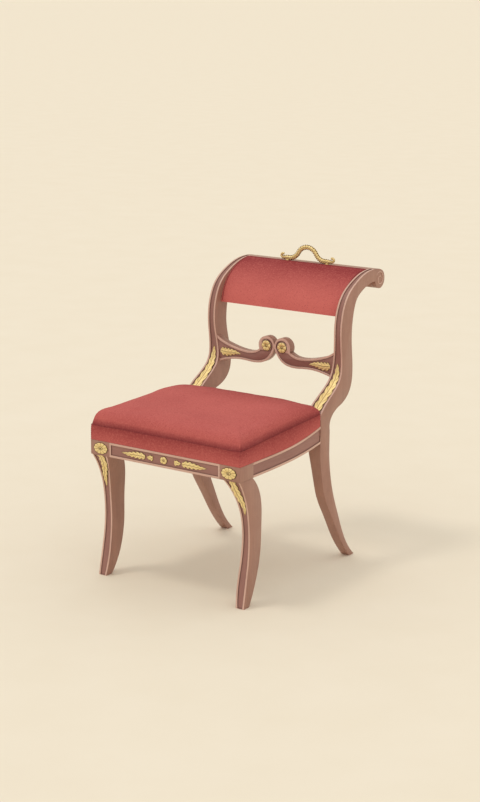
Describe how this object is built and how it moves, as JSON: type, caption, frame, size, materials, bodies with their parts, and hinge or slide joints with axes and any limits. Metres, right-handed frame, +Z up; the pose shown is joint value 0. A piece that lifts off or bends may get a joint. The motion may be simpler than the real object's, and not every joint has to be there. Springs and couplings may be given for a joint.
{
  "type": "klismos chair",
  "caption": "Klismos dining chair with sabre legs, swept stiles that roll over at the crest, scrolled back arms, gilt mounts, a crest handle and a padded lift-out seat.",
  "frame": {"origin": "on the floor, under the middle of the whole chair's bounding box", "axes": "+Z up, the chair faces -Y, +X is on the right of someone who looks at its front"},
  "size_m": [0.522, 0.778, 0.8964],
  "materials": {
    "show_wood": "waxed reddish brown mahogany",
    "frame_wood": "planed beech, unfinished",
    "gilt": "matt gilt cast mounts with dark recesses",
    "cover_cloth": "crimson worsted cloth, matt",
    "stuffing": "curled hair in a linen scrim",
    "webbing": "woven jute webbing",
    "base_cloth": "coarse hessian",
    "screw_steel": "plain steel",
    "tack_steel": "blued cut tacks"
  },
  "bodies": {
    "frame": {"back_scroll_left": "show_wood", "back_scroll_right": "show_wood", "brace_front_left": "frame_wood", "brace_front_right": "frame_wood", "brace_rear_left": "frame_wood", "brace_rear_right": "frame_wood", "brace_screws": "screw_steel", "bracket_spray_left": "gilt", "bracket_spray_right": "gilt", "corner_rosette_left": "gilt", "corner_rosette_right": "gilt", "crest_board": "show_wood", "crest_cover": "cover_cloth", "crest_handle": "gilt", "crest_pad": "stuffing", "crest_roll": "show_wood", "front_leg_left": "show_wood", "front_leg_right": "show_wood", "front_seat_rail": "show_wood", "handle_screws": "screw_steel", "leg_leaf_left": "gilt", "leg_leaf_right": "gilt", "mount_pins": "gilt", "rail_bud_left": "gilt", "rail_bud_right": "gilt", "rail_flower": "gilt", "rail_spray_left": "gilt", "rail_spray_right": "gilt", "rear_seat_rail": "show_wood", "rear_stile_left": "show_wood", "rear_stile_right": "show_wood", "side_seat_rail_left": "show_wood", "side_seat_rail_right": "show_wood", "stile_leaf_left": "gilt", "stile_leaf_right": "gilt", "volute_dowel": "frame_wood", "volute_rosette_left": "gilt", "volute_rosette_right": "gilt"},
    "seat": {"seat_base_cloth": "base_cloth", "seat_cover": "cover_cloth", "seat_frame_front": "frame_wood", "seat_frame_left": "frame_wood", "seat_frame_rear": "frame_wood", "seat_frame_right": "frame_wood", "seat_stuffing": "stuffing", "seat_tacks": "tack_steel", "seat_webbing_crosswise": "webbing", "seat_webbing_lengthwise": "webbing"}
  },
  "joints": [
    {"name": "seat_lift", "type": "slide", "parent": "frame", "child": "seat", "axis": [0, 0, 1], "range_m": [0, 0.15]}
  ]
}
